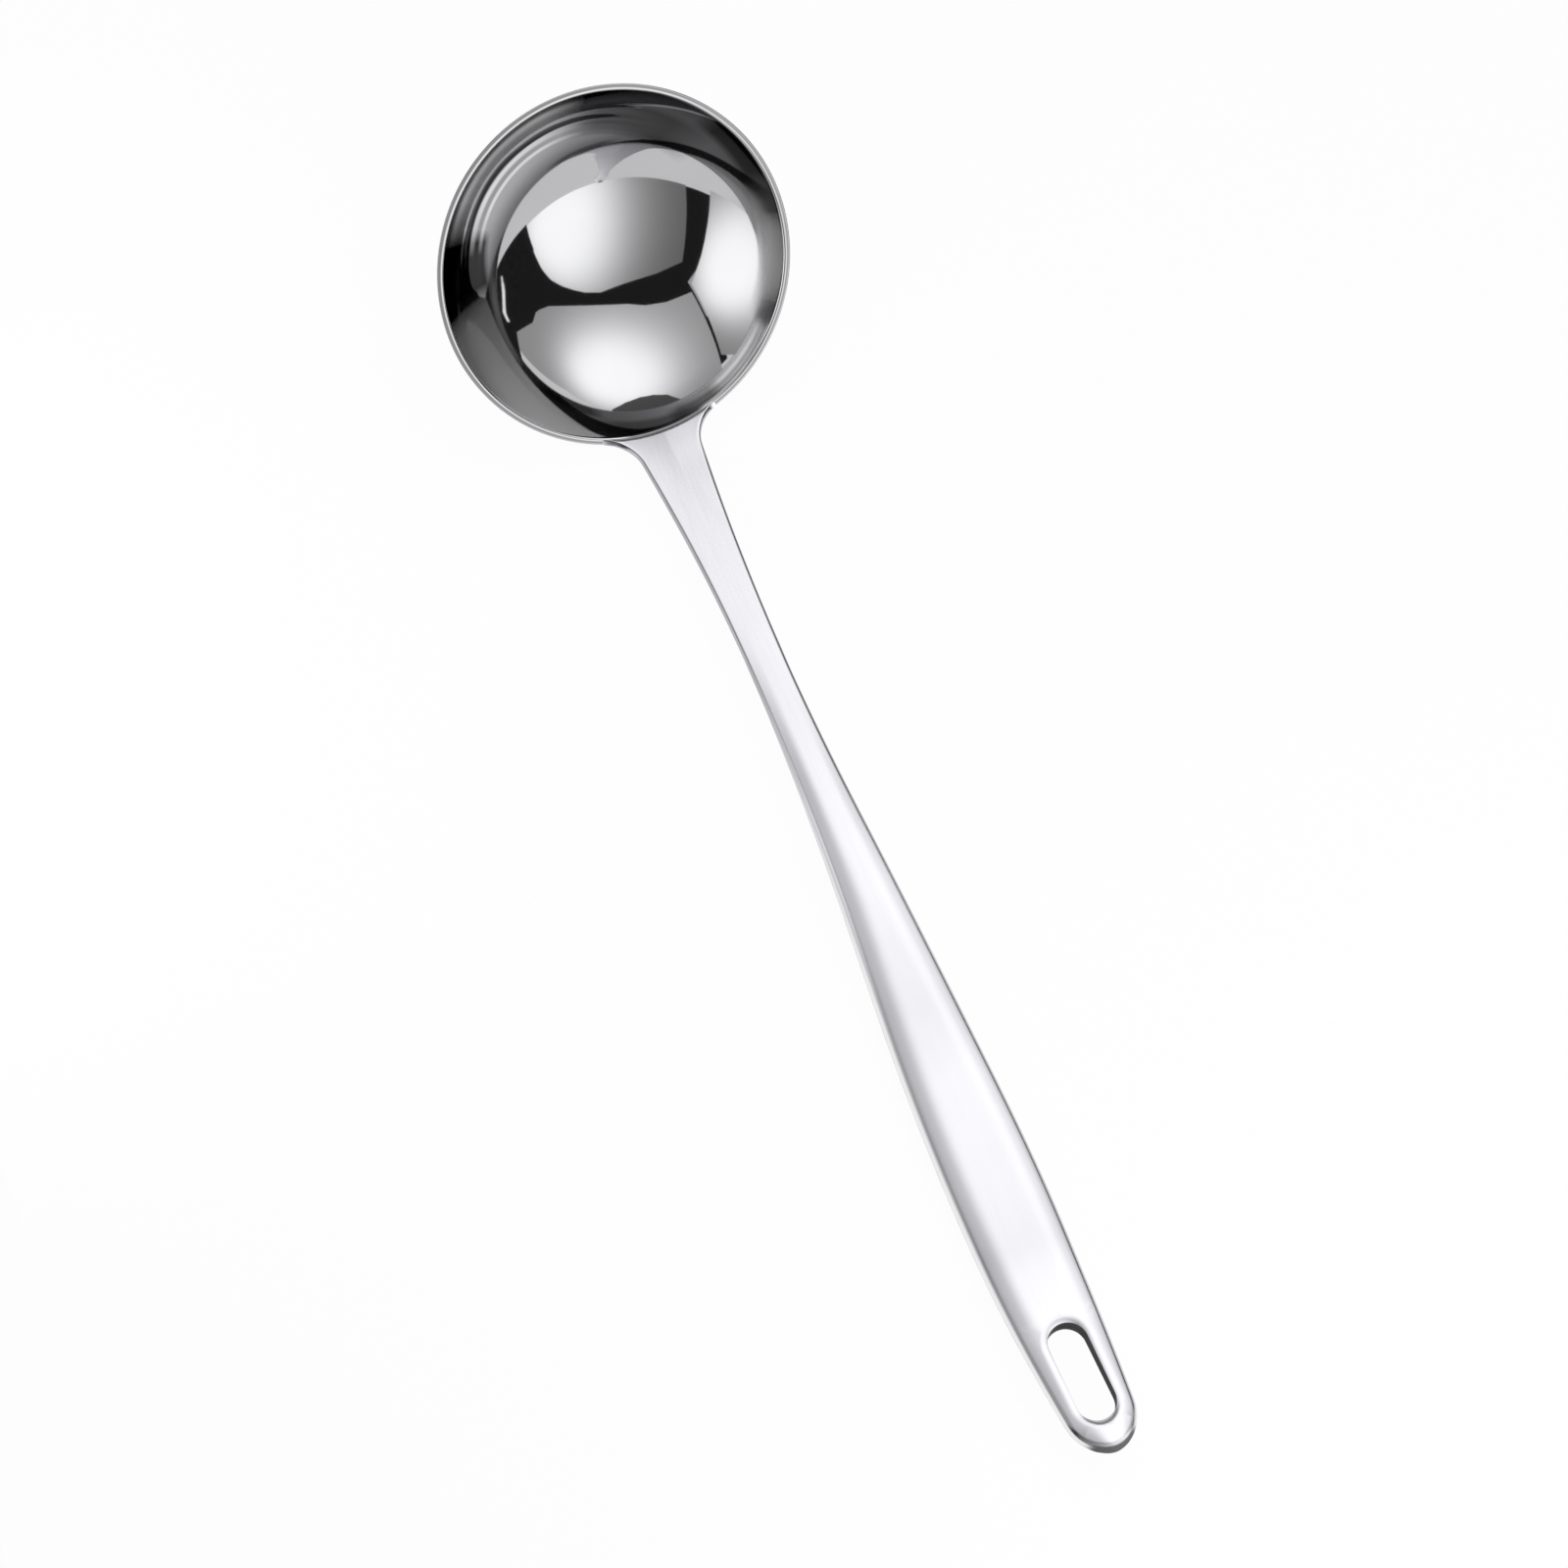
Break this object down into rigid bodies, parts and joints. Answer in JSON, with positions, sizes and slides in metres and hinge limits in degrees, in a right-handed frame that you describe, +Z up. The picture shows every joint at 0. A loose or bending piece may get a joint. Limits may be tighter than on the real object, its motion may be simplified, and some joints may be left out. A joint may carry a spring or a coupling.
{
  "type": "soup ladle",
  "caption": "Steel soup ladle with a mirror-polished round bowl and a satin, slim-necked hollow handle that widens to a rounded end with a hanging slot.",
  "frame": {"origin": "on the table under the middle of the ladle's bounding box, as it lies at rest", "axes": "+X along the ladle from the bowl to the handle's end, +Y across it, +Z up from the table"},
  "size_m": [0.3227, 0.0848, 0.0596],
  "materials": {
    "mirror_steel": "mirror-polished stainless steel",
    "satin_steel": "satin, brushed along the handle",
    "sleeve_steel": "drawn, dull and dark, not polished",
    "weld_steel": "brushed weld bead"
  },
  "bodies": {
    "root": {"bowl": "mirror_steel", "handle_front": "satin_steel", "handle_back": "satin_steel", "slot_sleeve": "sleeve_steel", "neck_weld": "weld_steel"}
  },
  "joints": []
}
